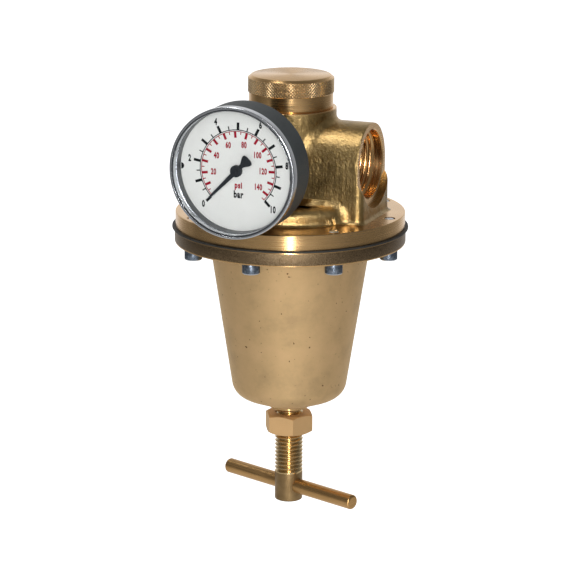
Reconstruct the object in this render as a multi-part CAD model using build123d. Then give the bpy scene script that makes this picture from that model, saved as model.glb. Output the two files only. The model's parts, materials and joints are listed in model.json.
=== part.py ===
from build123d import *
import os
from math import cos, radians, sin, tan

# Air pressure regulator, threaded brass body, in millimetres.
#
# The design frame has its Z axis on the regulator's main axis and z = 0 in the middle of the
# diaphragm. The pipe ports lie along X, the gauge faces -Y and the adjusting screw hangs down.
# Every part is moved on export so that the origin is the centre of the inlet port's mouth.

# ---- driving dimensions -------------------------------------------------------------------
RUNNING_GAP = 0.05               # radial clearance of every shaft that turns or slides

PORT_FACE_X = 41.7               # machined port face from the main axis
PORT_AXIS_Z = 33.3
PORT_RADIUS = 16.62              # major radius of the G1 pipe thread
PORT_DEPTH = 18.0
PORT_BOSS_RADIUS = 20.1          # round upper half of the port block
SPOT_FACE_RADIUS = 21.15
BLOCK_END_X = 44.2               # cast end wall under the machined face
BLOCK_CORNER = 4.0

NECK_RADIUS = 22.2
NECK_TOP = 58.6
CAP_BORE_RADIUS = 18.0
CAP_THREAD_BOTTOM = 52.0
UPPER_CHAMBER_RADIUS = 16.0
WEB_BOTTOM = 31.0
WEB_TOP = 35.5
LOWER_CHAMBER_RADIUS = 15.0
LOWER_CHAMBER_FLOOR = 13.0
DIAPHRAGM_CAVITY_RADIUS = 36.0
DIAPHRAGM_CAVITY_TOP = 9.0

DRUM_RADIUS = 40.0
DRUM_TOP = 15.4
FLANGE_RADIUS = 56.2
FLANGE_TOP = 7.3
LOWER_FLANGE_RADIUS = 56.6
LOWER_FLANGE_BOTTOM = -8.0

DIAPHRAGM_THICK = 1.4
DIAPHRAGM_RADIUS = 57.8
CONVOLUTION_RADIUS = 31.5
CONVOLUTION_DEPTH = 3.6

BOLT_COUNT = 8
BOLT_CIRCLE_RADIUS = 51.15
BOLT_RADIUS = 2.5                # M5
BOLT_HEAD_RADIUS = 4.28
BOLT_HEAD_HEIGHT = 5.2
BOLT_SOCKET_FLATS = 4.0

CONE_TOP_RADIUS = 39.62          # bonnet cone at the flange
CONE_CORNER = (27.63, -85.36)    # where the cone meets the sloping bottom, before rounding
CONE_CORNER_ROUND = 8.6
PAD_RADIUS = 9.8
PAD_TOP = -92.1
PAD_BOTTOM = -92.9
BONNET_WALL = 3.5

SCREW_RADIUS = 6.95              # M14 x 2
SCREW_TOP = -67.5
SCREW_BOTTOM = -141.5
NUT_FLATS = 21.67
NUT_TOP = -96.05
NUT_BOTTOM = -105.85
BAR_RADIUS = 3.7
BAR_Z = -133.7
BAR_ANGLE = -21.8                # about Z, from +X
BAR_ENDS = (-41.7, 43.3)

SPRING_RADIUS = 18.0             # main spring, to the middle of the wire
SPRING_WIRE = 2.4
SPRING_TURNS = 6
SPRING_SEAT_TOP = -60.0
SPRING_SPIGOT = 15.2
BALL_RADIUS = 4.0
BALL_Z = -67.0

LOWER_PLATE_BOTTOM = -3.7
UPPER_PLATE_TOP = 3.2
HUB_RADIUS = 4.0
STEM_RADIUS = 2.5
STEM_FOOT = 4.4

SEAT_ORIFICE = 8.0
SEAT_NOSE_TOP = 38.0
POPPET_DISC_TOP = 41.0
POPPET_TOP = 44.0
POPPET_GUIDE_TOP = 55.0
POPPET_GUIDE_RADIUS = 5.95
VALVE_SPRING_RADIUS = 8.6        # to the middle of the wire
VALVE_SPRING_TOP = 54.0

CAP_RADIUS = 20.5
KNURL_RADIUS = 20.9
KNURL_BOTTOM = 66.1
KNURL_TOP = 73.2
CAP_TOP = 74.3
CAP_TOP_RADIUS = 19.1
CAP_PILOT_BOTTOM = 47.0
CAP_SEAL_Z = 49.5
CAP_SEAL_RADIUS = 14.9           # to the middle of the ring's wire
CAP_SEAL_WIRE = 1.08

GAUGE_Z = 40.0
GAUGE_BACK_Y = -55.2
GAUGE_RING_RADIUS = 31.5
GAUGE_CASE_RADIUS = 30.9
GAUGE_DEPTH = 21.05
GAUGE_WALL = 1.6
GAUGE_RING_BACK = 16.8           # back edge of the window's rim, measured from the gauge's back
GAUGE_SNAP_STEP = 0.8            # step in the case that the rim snaps over
GAUGE_SIGHT_RADIUS = 27.4
GAUGE_THREAD_RADIUS = 6.58       # G 1/4
GAUGE_BOSS_RADIUS = 12.0
GAUGE_BOSS_FACE_Y = -41.0
GAUGE_SEAL_THICK = 1.5
SEAL_RADIUS = 9.6                # sealing rings of the gauge and the rear plug
REAR_BOSS_FACE_Y = 26.0

# The gauge movement lies in layers, measured forward from the back of the case.
DIAL_LAYER = (12.0, 12.5)
POINTER_LAYER = (14.0, 14.6)
POINTER_HUB_LAYER = (13.6, 15.8)
WINDOW_LAYER = (17.4, 19.2)
BACK_PLATE_LAYER = (4.0, 5.0)
FRONT_PLATE_LAYER = (9.5, 10.3)
GEAR_LAYER = (6.2, 7.4)
LINK_LAYER = (7.8, 8.4)
TUBE_LAYER = (2.2, 7.2)
POINTER_REST_ANGLE = 225.0
POINTER_LENGTH = 19.8
GEAR_MODULE = 0.25
PINION_TEETH = 16
SECTOR_TEETH = 96                # as a full wheel
SECTOR_PIVOT = (0.0, -14.0)
SECTOR_SWING = 45.0
TAIL_ANGLE = 200.0
TAIL_LENGTH = 5.0
TUBE_RADIUS = 22.5
TUBE_WIDTH = 1.8
TUBE_ANGLES = (-54.0, 215.0)
SOCKET_FLATS = 17.0

TO_ROW_FRAME = Pos(PORT_FACE_X, 0, -PORT_AXIS_Z)
GAUGE_PLANE = Plane(origin=(0, GAUGE_BACK_Y, GAUGE_Z), x_dir=(1, 0, 0), z_dir=(0, -1, 0))


# ---- shape helpers ------------------------------------------------------------------------
def outline(points, rounds=()):
    """A closed flat outline; rounds lists (point number, radius) of the rounded corners."""
    face = make_face(Polyline(*points, close=True))
    for number, radius in rounds:
        corner = face.vertices().sort_by_distance(Vector(*points[number]))[0]
        face = fillet(corner, radius)
    return face


def turned(points, rounds=()):
    """A solid turned about Z from (radius, height) points."""
    return revolve(Plane.XZ * outline(points, rounds), Axis.Z)


def rod(radius, bottom, top):
    """An upright cylinder between two heights."""
    return Pos(0, 0, bottom) * extrude(Circle(radius), top - bottom)


def tube(outer, inner, bottom, top):
    """An upright ring between two heights."""
    return Pos(0, 0, bottom) * extrude(Circle(outer) - Circle(inner), top - bottom)


def block(x_span, y_span, z_span):
    """A box from its spans along X, Y and Z."""
    spans = (x_span, y_span, z_span)
    size = [high - low for low, high in spans]
    middle = [(high + low) / 2 for low, high in spans]
    return Pos(*middle) * Box(*size)


def along_x(radius, start, end, z):
    """A cylinder parallel to X, from start to end."""
    return Pos(start, 0, z) * Rot(0, 90, 0) * extrude(Circle(radius), end - start)


def along_y(radius, start, end, z):
    """A cylinder parallel to Y, from start to end, start having the smaller Y."""
    return Pos(0, end, z) * Rot(90, 0, 0) * extrude(Circle(radius), end - start)


def bolt_places(z=0.0):
    """The places of the flange screws; one lies under the gauge."""
    step = 360 / BOLT_COUNT
    return [Rot(0, 0, -90 + step * i) * Pos(BOLT_CIRCLE_RADIUS, 0, z) for i in range(BOLT_COUNT)]


def hexagon(flats):
    """A hexagon from its width across flats."""
    return RegularPolygon(flats / 2 / cos(radians(30)), 6)


def layer(face, span):
    """A flat gauge piece: a face extruded forward over its layer of the gauge."""
    return GAUGE_PLANE * Pos(0, 0, span[0]) * extrude(face, span[1] - span[0])


def gauge_turned(points, rounds=()):
    """A gauge piece turned about the gauge's axis, heights measured forward from its back."""
    return GAUGE_PLANE * turned(points, rounds)


def polar(radius, angle):
    """A point at a radius and an angle in degrees."""
    return (radius * cos(radians(angle)), radius * sin(radians(angle)))


# ---- body ---------------------------------------------------------------------------------
def cast_block():
    """Port block: flat end walls below, a round arch along X above, and its two ports."""
    footprint = RectangleRounded(2 * BLOCK_END_X, 2 * PORT_BOSS_RADIUS, BLOCK_CORNER)
    lower = Pos(0, 0, FLANGE_TOP - 1) * extrude(footprint, PORT_AXIS_Z - FLANGE_TOP + 1)
    arch = along_x(PORT_BOSS_RADIUS, -PORT_FACE_X, PORT_FACE_X, PORT_AXIS_Z)
    casting = lower + arch
    for side in (-1, 1):
        inner = side * PORT_FACE_X
        outer = side * (BLOCK_END_X + 2)
        casting -= along_x(SPOT_FACE_RADIUS, min(inner, outer), max(inner, outer), PORT_AXIS_Z)
    return casting


def cast_outside():
    """The body casting before any machining."""
    flange = rod(FLANGE_RADIUS, DIAPHRAGM_THICK / 2, FLANGE_TOP)
    drum = turned(
        [(0, FLANGE_TOP - 1), (DRUM_RADIUS, FLANGE_TOP - 1), (DRUM_RADIUS, DRUM_TOP), (0, DRUM_TOP)],
        rounds=[(2, 4.0)],
    )
    neck = rod(NECK_RADIUS, DRUM_TOP - 2, NECK_TOP)
    neck = chamfer(neck.edges().sort_by(Axis.Z)[-1], 0.6)
    gauge_boss = along_y(GAUGE_BOSS_RADIUS, GAUGE_BOSS_FACE_Y, -10, GAUGE_Z)
    rear_boss = along_y(GAUGE_BOSS_RADIUS, 10, REAR_BOSS_FACE_Y, PORT_AXIS_Z)
    return cast_block() + flange + drum + neck + gauge_boss + rear_boss


def air_passages():
    """Everything that the air flows through, from the inlet to the outlet and the gauge."""
    port_end = PORT_FACE_X - PORT_DEPTH
    upper = rod(UPPER_CHAMBER_RADIUS, WEB_TOP, CAP_THREAD_BOTTOM)
    cap_bore = rod(CAP_BORE_RADIUS, CAP_THREAD_BOTTOM, NECK_TOP + 1)
    lower = rod(LOWER_CHAMBER_RADIUS, LOWER_CHAMBER_FLOOR, WEB_BOTTOM)
    cavity = rod(DIAPHRAGM_CAVITY_RADIUS, 0, DIAPHRAGM_CAVITY_TOP)
    inlet = along_x(PORT_RADIUS, -PORT_FACE_X - 3, -port_end, PORT_AXIS_Z)
    outlet = along_x(PORT_RADIUS, port_end, PORT_FACE_X + 3, PORT_AXIS_Z)
    inlet_slot = block((-port_end - 1, -10), (-11, 11), (WEB_TOP + 0.5, 48))
    outlet_slot = block((10, port_end + 1), (-11, 11), (18, WEB_BOTTOM - 1))
    seat_bore = rod(11.0, WEB_BOTTOM - 1, WEB_TOP + 1)
    guide_bore = rod(6.0, DIAPHRAGM_CAVITY_TOP - 1, LOWER_CHAMBER_FLOOR + 1)
    sensing_hole = Pos(11, 0, 0) * rod(1.5, DIAPHRAGM_CAVITY_TOP - 1, LOWER_CHAMBER_FLOOR + 1)
    return [upper, cap_bore, lower, cavity, inlet, outlet, inlet_slot, outlet_slot, seat_bore, guide_bore,
            sensing_hole]


def side_ports():
    """The gauge port, its slanted drilling to the outlet side, and the plugged rear port."""
    gauge_bore = along_y(GAUGE_THREAD_RADIUS, GAUGE_BOSS_FACE_Y - 1, -29, GAUGE_Z)
    drilling_plane = Plane(origin=(0, -31, GAUGE_Z - 2), z_dir=(0, 18, -14))
    drilling = drilling_plane * extrude(Circle(1.5), 24)
    rear_bore = along_y(GAUGE_THREAD_RADIUS, 17, REAR_BOSS_FACE_Y + 1, PORT_AXIS_Z)
    rear_drilling_plane = Plane(origin=(0, 18, PORT_AXIS_Z - 3), z_dir=(0, -8, -8))
    rear_drilling = rear_drilling_plane * extrude(Circle(1.5), 10)
    return [gauge_bore, drilling, rear_bore, rear_drilling]


def body():
    """Brass body: ports, valve chamber, flange and gauge bosses in one casting."""
    shape = cast_outside()
    for hollow in air_passages() + side_ports():
        shape -= hollow
    for place in bolt_places():
        shape -= place * rod(BOLT_RADIUS + 0.02, 0, FLANGE_TOP + 1)
    return shape


# ---- valve --------------------------------------------------------------------------------
def valve_seat():
    """Turned seat ring held in the web, with a raised nose that the rubber disc closes on."""
    return turned([
        (SEAT_ORIFICE, WEB_BOTTOM), (11.0, WEB_BOTTOM), (11.0, WEB_TOP), (12.5, WEB_TOP),
        (12.5, WEB_TOP + 1), (10.0, WEB_TOP + 1), (9.0, SEAT_NOSE_TOP), (SEAT_ORIFICE, SEAT_NOSE_TOP),
    ])


def stem_guide():
    """Flanged bush that guides the valve stem through the floor of the outlet chamber."""
    hole = STEM_RADIUS + RUNNING_GAP
    return turned([
        (hole, 8.0), (6.0, 8.0), (6.0, LOWER_CHAMBER_FLOOR), (7.5, LOWER_CHAMBER_FLOOR),
        (7.5, LOWER_CHAMBER_FLOOR + 1.5), (hole, LOWER_CHAMBER_FLOOR + 1.5),
    ])


def valve_stem():
    """Push rod from the diaphragm hub up to the poppet, with a rounded foot."""
    top = SEAT_NOSE_TOP - 1
    return turned(
        [(0, STEM_FOOT), (STEM_RADIUS, STEM_FOOT), (STEM_RADIUS, top), (0, top)],
        rounds=[(1, 1.0)],
    )


def valve_poppet():
    """Poppet: a cup over the rubber disc, a hub through it, and a guide spigot above."""
    return turned([
        (0, SEAT_NOSE_TOP - 1), (4.0, SEAT_NOSE_TOP - 1), (4.0, POPPET_DISC_TOP), (11.5, POPPET_DISC_TOP),
        (11.5, POPPET_TOP), (POPPET_GUIDE_RADIUS, POPPET_TOP), (POPPET_GUIDE_RADIUS, POPPET_GUIDE_TOP),
        (0, POPPET_GUIDE_TOP),
    ])


def valve_disc():
    """Rubber sealing disc under the poppet."""
    return tube(10.5, 4.0, SEAT_NOSE_TOP, POPPET_DISC_TOP)


def coil(radius, wire, turns, bottom, top):
    """A compression spring between two flat faces."""
    height = top - bottom - 2 * wire
    path = Helix(pitch=height / turns, height=height, radius=radius)
    section = Plane(origin=path @ 0, z_dir=path % 0) * Circle(wire)
    return Pos(0, 0, bottom + wire) * sweep(section, path=path)


def valve_spring():
    """Closing spring between the poppet and the cap."""
    return coil(VALVE_SPRING_RADIUS, 0.6, 5, POPPET_TOP, VALVE_SPRING_TOP)


def valve_cap():
    """Knurled plug that closes the valve chamber; spring pocket and guide bore underneath."""
    guide = POPPET_GUIDE_RADIUS + RUNNING_GAP
    groove = CAP_SEAL_WIRE + 0.12
    pilot = UPPER_CHAMBER_RADIUS - 0.1
    groove_floor = CAP_SEAL_RADIUS - CAP_SEAL_WIRE - 0.02
    pocket_inner, pocket_outer = VALVE_SPRING_RADIUS - 1.4, VALVE_SPRING_RADIUS + 2.0
    return turned([
        (0, 58.5), (guide, 58.5), (guide, CAP_PILOT_BOTTOM), (pocket_inner, CAP_PILOT_BOTTOM),
        (pocket_inner, VALVE_SPRING_TOP), (pocket_outer, VALVE_SPRING_TOP),
        (pocket_outer, CAP_PILOT_BOTTOM), (pilot, CAP_PILOT_BOTTOM), (pilot, CAP_SEAL_Z - groove),
        (groove_floor, CAP_SEAL_Z - groove), (groove_floor, CAP_SEAL_Z + groove),
        (pilot, CAP_SEAL_Z + groove), (pilot, CAP_THREAD_BOTTOM), (CAP_BORE_RADIUS, CAP_THREAD_BOTTOM),
        (CAP_BORE_RADIUS, NECK_TOP), (CAP_RADIUS, NECK_TOP), (CAP_RADIUS, KNURL_BOTTOM),
        (KNURL_RADIUS, KNURL_BOTTOM + 0.3), (KNURL_RADIUS, KNURL_TOP), (CAP_TOP_RADIUS, CAP_TOP),
        (0, CAP_TOP),
    ])


def cap_seal():
    """O-ring in the cap's groove."""
    return Pos(0, 0, CAP_SEAL_Z) * Torus(CAP_SEAL_RADIUS, CAP_SEAL_WIRE)


# ---- diaphragm and spring -----------------------------------------------------------------
def diaphragm():
    """Rubber diaphragm clamped between the flanges, with one rolled convolution."""
    half = DIAPHRAGM_THICK / 2
    inner_end = CONVOLUTION_RADIUS - CONVOLUTION_DEPTH
    outer_end = CONVOLUTION_RADIUS + CONVOLUTION_DEPTH
    ring = Circle(CONVOLUTION_DEPTH + half) - Circle(CONVOLUTION_DEPTH - half)
    lower_side = Pos(0, -10) * Rectangle(20, 20)
    roll = revolve(Plane.XZ * Pos(CONVOLUTION_RADIUS, 0) * (ring & lower_side), Axis.Z)
    centre = tube(inner_end + half, HUB_RADIUS, -half, half)
    rim = tube(DIAPHRAGM_RADIUS, outer_end - half, -half, half)
    for place in bolt_places():
        rim -= place * rod(BOLT_RADIUS + 0.25, -half, half)
    return centre + roll + rim


def upper_diaphragm_plate():
    """Dished plate on the air side of the diaphragm."""
    half = DIAPHRAGM_THICK / 2
    return turned([
        (HUB_RADIUS, half), (26.5, half), (27.5, half + 1.4), (26.5, half + 1.8), (8.0, half + 1.8),
        (7.0, UPPER_PLATE_TOP), (HUB_RADIUS, UPPER_PLATE_TOP),
    ])


def lower_diaphragm_plate():
    """Plate on the spring side, with the spigot that centres the main spring."""
    return turned([
        (HUB_RADIUS, -DIAPHRAGM_THICK / 2), (26.6, -DIAPHRAGM_THICK / 2), (26.6, -2.6),
        (25.6, LOWER_PLATE_BOTTOM), (SPRING_SPIGOT, LOWER_PLATE_BOTTOM), (SPRING_SPIGOT - 1, -7.5),
        (HUB_RADIUS, -7.5),
    ])


def diaphragm_hub():
    """Hollow bolt through both plates; its bore vents the outlet when the stem lifts off."""
    return turned([
        (1.0, STEM_FOOT), (6.0, STEM_FOOT), (6.0, UPPER_PLATE_TOP), (HUB_RADIUS, UPPER_PLATE_TOP),
        (HUB_RADIUS, -14.0), (1.0, -14.0),
    ])


def hex_nut(flats, hole, bottom, top, slope=30.0):
    """A hexagon nut, chamfered at both ends, with two corners on the X axis."""
    prism = Pos(0, 0, bottom) * extrude(hexagon(flats), top - bottom)
    corner = flats / 2 / cos(radians(30))
    flat_radius = flats / 2 * 0.97
    drop = (corner - flat_radius) * tan(radians(slope))
    rounded = turned([
        (hole, bottom), (flat_radius, bottom), (corner, bottom + drop), (corner, top - drop),
        (flat_radius, top), (hole, top),
    ])
    return prism & rounded


def diaphragm_nut():
    """Nut that clamps the plates on the hub."""
    return hex_nut(13.0, HUB_RADIUS, -12.5, -7.5)


def main_spring():
    """Range spring between the lower plate and the spring seat."""
    return coil(SPRING_RADIUS, SPRING_WIRE, SPRING_TURNS, SPRING_SEAT_TOP, LOWER_PLATE_BOTTOM)


def spring_seat():
    """Plate under the main spring, pushed up by the ball on the adjusting screw."""
    plate = turned([
        (0, -66.5), (7.0, -66.5), (8.0, -64.0), (22.0, -64.0), (22.0, SPRING_SEAT_TOP),
        (SPRING_SPIGOT, SPRING_SEAT_TOP), (SPRING_SPIGOT - 1, -56.0), (0, -56.0),
    ])
    return plate - Pos(0, 0, BALL_Z) * Sphere(BALL_RADIUS + RUNNING_GAP)


def thrust_ball():
    """Ball between the screw's tip and the spring seat."""
    return Pos(0, 0, BALL_Z) * Sphere(BALL_RADIUS)


def adjusting_screw():
    """M14 adjusting screw with a dimple for the ball and a cross hole for the bar."""
    shaft = turned(
        [(0, SCREW_BOTTOM), (SCREW_RADIUS, SCREW_BOTTOM), (SCREW_RADIUS, SCREW_TOP - 1),
         (SCREW_RADIUS - 1, SCREW_TOP), (0, SCREW_TOP)],
        rounds=[(1, 1.4)],
    )
    shaft -= Pos(0, 0, BALL_Z) * Sphere(BALL_RADIUS + RUNNING_GAP)
    return shaft - cross_bar()


def cross_bar():
    """Round bar through the screw, with rounded ends."""
    start, end = BAR_ENDS
    bar = Rot(0, 90, 0) * extrude(Circle(BAR_RADIUS), end - start)
    bar = fillet(bar.edges().filter_by(GeomType.CIRCLE), 1.2)
    return Pos(0, 0, BAR_Z) * Rot(0, 0, BAR_ANGLE) * Pos(start, 0, 0) * bar


def jam_nut():
    """Lock nut on the adjusting screw under the bonnet."""
    return hex_nut(NUT_FLATS, SCREW_RADIUS + RUNNING_GAP, NUT_BOTTOM, NUT_TOP)


def bonnet():
    """Spring housing: flange, hollow cone and a threaded boss for the adjusting screw."""
    corner_r, corner_z = CONE_CORNER
    top = -DIAPHRAGM_THICK / 2
    screw_hole = SCREW_RADIUS + RUNNING_GAP
    side_slope = (CONE_TOP_RADIUS - corner_r) / (LOWER_FLANGE_BOTTOM - corner_z)
    floor_z = -78.0
    inner_top = CONE_TOP_RADIUS - BONNET_WALL
    inner_foot = inner_top - side_slope * (LOWER_FLANGE_BOTTOM - floor_z)
    shape = turned(
        [
            (screw_hole, PAD_BOTTOM), (PAD_RADIUS, PAD_BOTTOM), (PAD_RADIUS, PAD_TOP), (corner_r, corner_z),
            (CONE_TOP_RADIUS, LOWER_FLANGE_BOTTOM), (LOWER_FLANGE_RADIUS - 0.5, LOWER_FLANGE_BOTTOM),
            (LOWER_FLANGE_RADIUS, LOWER_FLANGE_BOTTOM + 0.5), (LOWER_FLANGE_RADIUS, top), (inner_top, top),
            (inner_top, LOWER_FLANGE_BOTTOM), (inner_foot, floor_z), (13.0, -82.0), (11.0, -74.0),
            (screw_hole, -74.0),
        ],
        rounds=[(3, CONE_CORNER_ROUND), (4, 0.8), (9, 6.0)],
    )
    for place in bolt_places():
        shape -= place * rod(BOLT_RADIUS + 0.25, LOWER_FLANGE_BOTTOM - 1, 1)
    return shape


def cap_screws():
    """Hexagon socket screws, heads under the bonnet flange, ends flush in the body flange."""
    head_bottom = LOWER_FLANGE_BOTTOM - BOLT_HEAD_HEIGHT
    screw = turned(
        [(0, head_bottom), (BOLT_HEAD_RADIUS, head_bottom), (BOLT_HEAD_RADIUS, LOWER_FLANGE_BOTTOM),
         (BOLT_RADIUS, LOWER_FLANGE_BOTTOM), (BOLT_RADIUS, FLANGE_TOP - 0.2), (0, FLANGE_TOP - 0.2)],
        rounds=[(1, 0.5)],
    )
    screw -= Pos(0, 0, head_bottom) * extrude(hexagon(BOLT_SOCKET_FLATS), 2.6)
    return Compound([place * screw for place in bolt_places()])


# ---- gauge --------------------------------------------------------------------------------
def gauge_case():
    """Moulded cup of the gauge, open to the front, with a hole for the socket."""
    outside = GAUGE_CASE_RADIUS
    snap = outside - GAUGE_SNAP_STEP
    inside = outside - GAUGE_WALL
    front = WINDOW_LAYER[0]
    return gauge_turned(
        [(6.0, 0), (outside, 0), (outside, GAUGE_RING_BACK), (snap, GAUGE_RING_BACK), (snap, front),
         (inside, front), (inside, GAUGE_WALL), (6.0, GAUGE_WALL)],
        rounds=[(1, 1.2)],
    )


def gauge_window():
    """Clear window with its stepped rim, snapped over the case's edge."""
    back, front = WINDOW_LAYER
    snap = GAUGE_CASE_RADIUS - GAUGE_SNAP_STEP
    return gauge_turned(
        [(0, back), (snap, back), (snap, GAUGE_RING_BACK), (GAUGE_RING_RADIUS, GAUGE_RING_BACK),
         (GAUGE_RING_RADIUS, GAUGE_DEPTH), (GAUGE_SIGHT_RADIUS + 1.4, GAUGE_DEPTH),
         (GAUGE_SIGHT_RADIUS, front), (0, front)],
        rounds=[(4, 0.9), (5, 0.5)],
    )


def gauge_dial():
    """Flat dial with a hole for the pointer shaft."""
    return layer(Circle(28.8) - Circle(1.5), DIAL_LAYER)


def gauge_pointer():
    """Pointer: hub, tapered hand and fan-shaped counterweight."""
    tip = POINTER_LENGTH
    hand = make_face(Polyline((0, -0.95), (tip, -0.45), (tip, 0.45), (0, 0.95), close=True))
    fan = make_face(Polyline((0, -1.0), (-4.5, -1.3), (-7.6, -2.7), (-8.6, -1.6), (-8.6, 1.6), (-7.6, 2.7),
                             (-4.5, 1.3), (0, 1.0), close=True))
    blade = layer(Rot(0, 0, POINTER_REST_ANGLE) * (hand + fan), POINTER_LAYER)
    bottom, top = POINTER_HUB_LAYER
    hub = gauge_turned([(0, bottom), (2.6, bottom), (2.8, bottom + 0.3), (2.8, top), (0, top)])
    return blade + hub - gauge_turned([(0, bottom - 1), (0.6, bottom - 1), (0.6, 14.0), (0, 14.0)])


def gear_outline(teeth, first, last):
    """Gear teeth first to last of a wheel, as flat-topped teeth on a disc or a fan."""
    pitch_radius = GEAR_MODULE * teeth / 2
    root = pitch_radius - 1.2 * GEAR_MODULE
    tip = pitch_radius + 0.8 * GEAR_MODULE
    step = 360 / teeth
    face = Circle(root)
    for number in range(first, last):
        middle = number * step
        points = [polar(root - 0.1, middle - 0.24 * step), polar(tip, middle - 0.11 * step),
                  polar(tip, middle + 0.11 * step), polar(root - 0.1, middle + 0.24 * step)]
        face += make_face(Polyline(*points, close=True))
    return face


def pointer_shaft():
    """Pointer arbor with its pinion."""
    half_step = 180 / PINION_TEETH
    pinion = Rot(0, 0, -90 + half_step) * gear_outline(PINION_TEETH, 0, PINION_TEETH)
    foot, top = BACK_PLATE_LAYER[0] + 0.1, POINTER_LAYER[0]
    arbor = gauge_turned([(0, foot), (0.6, foot), (0.6, top), (0, top)])
    return layer(pinion, GEAR_LAYER) + arbor


def tail_point():
    """The link's pivot on the sector's tail, in the gauge plane."""
    x, y = polar(TAIL_LENGTH, TAIL_ANGLE)
    return (SECTOR_PIVOT[0] + x, SECTOR_PIVOT[1] + y)


def sector_gear():
    """Toothed sector with its arbor, its tail and the link's pin."""
    step = 360 / SECTOR_TEETH
    spare = 2
    swing_teeth = int(SECTOR_SWING / step)
    teeth = gear_outline(SECTOR_TEETH, -swing_teeth - spare, spare + 1)
    low = 90 - SECTOR_SWING - (spare + 0.5) * step
    high = 90 + (spare + 0.5) * step
    reach = GEAR_MODULE * SECTOR_TEETH
    corners = [(0, 0)] + [polar(reach, angle) for angle in (low, (low + high) / 2, high)]
    fan = make_face(Polyline(*corners, close=True))
    wheel = (Rot(0, 0, 90) * teeth) & fan
    tail = Rot(0, 0, TAIL_ANGLE) * Pos(TAIL_LENGTH / 2, 0) * Rectangle(TAIL_LENGTH, 1.6)
    flat = wheel + Circle(2.0) + tail + Pos(*polar(TAIL_LENGTH, TAIL_ANGLE)) * Circle(1.2)
    shape = layer(Pos(*SECTOR_PIVOT) * flat, GEAR_LAYER)
    arbor_span = (BACK_PLATE_LAYER[0] + 0.1, FRONT_PLATE_LAYER[1])
    shape += layer(Pos(*SECTOR_PIVOT) * Circle(0.8), arbor_span)
    return shape + layer(Pos(*tail_point()) * Circle(0.5), (GEAR_LAYER[1], LINK_LAYER[1] + 0.2))


def sector_link():
    """Link from the Bourdon tube's tip to the sector's tail."""
    ends = [tail_point(), polar(TUBE_RADIUS - 3.0, TUBE_ANGLES[1])]
    bar = make_hull([edge for end in ends for edge in (Pos(*end) * Circle(0.9)).edges()])
    for end in ends:
        bar -= Pos(*end) * Circle(0.5 + RUNNING_GAP)
    return layer(bar, LINK_LAYER)


def bourdon_tube():
    """C-shaped flat tube, closed at its tip, with a lug beside the link."""
    start, end = TUBE_ANGLES
    middle = sum(TUBE_LAYER) / 2
    depth = TUBE_LAYER[1] - TUBE_LAYER[0]
    wall_section = Pos(TUBE_RADIUS, middle) * SlotOverall(depth, TUBE_WIDTH, rotation=90)
    bore_section = Pos(TUBE_RADIUS, middle) * SlotOverall(depth - 0.8, TUBE_WIDTH - 0.8, rotation=90)
    shape = revolve(Plane.XZ * wall_section, Axis.Z, end - start)
    shape -= revolve(Plane.XZ * bore_section, Axis.Z, end - start - 4)
    lug_places = [(TUBE_RADIUS, 0.8), (TUBE_RADIUS - 3.0, 1.1)]
    eyes = [Pos(radius, 0) * Circle(size) for radius, size in lug_places]
    lug_face = make_hull([edge for eye in eyes for edge in eye.edges()])
    lug = Rot(0, 0, end - start) * Pos(0, 0, TUBE_LAYER[1] - 0.3) * extrude(lug_face, 0.7)
    return GAUGE_PLANE * Rot(0, 0, start) * (shape + lug)


def gauge_socket():
    """Brass socket: threaded stem, hexagon, and the block inside the case that holds the tube."""
    thread_end = GAUGE_BACK_Y - (GAUGE_BOSS_FACE_Y + 11.5)
    seal_face = GAUGE_BACK_Y - GAUGE_BOSS_FACE_Y + GAUGE_SEAL_THICK
    neck = GAUGE_THREAD_RADIUS - 0.7
    stem = gauge_turned([
        (0, thread_end), (neck, thread_end), (GAUGE_THREAD_RADIUS - 0.02, thread_end + 0.8),
        (GAUGE_THREAD_RADIUS - 0.02, seal_face), (neck, seal_face), (neck, GAUGE_WALL), (0, GAUGE_WALL),
    ])
    hexagon_limit = gauge_turned([
        (0, seal_face), (8.2, seal_face), (10.0, seal_face + 1), (10.0, -1.5), (8.2, -0.5), (0, -0.5),
    ])
    stem += layer(hexagon(SOCKET_FLATS), (seal_face, -0.5)) & hexagon_limit
    arm_corners = [(-6.5, 4.5), (-6.5, -14), (4, -21.5), (10.5, -23), (11, -17.2), (6.5, -8), (6.5, 4.5)]
    arm = make_face(Polyline(*arm_corners, close=True))
    stem += layer(arm, (GAUGE_WALL, BACK_PLATE_LAYER[0]))
    root = Rot(0, 0, TUBE_ANGLES[0]) * Pos(TUBE_RADIUS, -2.5) * Rectangle(4.6, 5)
    stem += layer(root, (GAUGE_WALL, TUBE_LAYER[1] + 1.0))
    return stem - gauge_turned([(0, thread_end - 1), (1.5, thread_end - 1), (1.5, 2.5), (0, 2.5)])


def movement_plates():
    """Back and front plates of the movement with their four pillars."""
    sheet = Pos(0, -8) * RectangleRounded(15, 28, 1.5)
    for centre, radius in (((0, 0), 0.6), (SECTOR_PIVOT, 0.8)):
        sheet -= Pos(*centre) * Circle(radius + RUNNING_GAP)
    shape = layer(sheet, BACK_PLATE_LAYER) + layer(sheet, FRONT_PLATE_LAYER)
    for x in (-5.8, 5.8):
        for y in (-20.0, 4.2):
            shape += layer(Pos(x, y) * Circle(1.1), (BACK_PLATE_LAYER[1], FRONT_PLATE_LAYER[0]))
            shape += layer(Pos(x, y) * Circle(0.9), (FRONT_PLATE_LAYER[1], DIAL_LAYER[0]))
    return shape


def gauge_seal():
    """Sealing ring between the socket's hexagon and the body's boss."""
    ring = Circle(SEAL_RADIUS) - Circle(GAUGE_THREAD_RADIUS + 0.1)
    back = GAUGE_BACK_Y - GAUGE_BOSS_FACE_Y
    return layer(ring, (back, back + GAUGE_SEAL_THICK))


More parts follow.
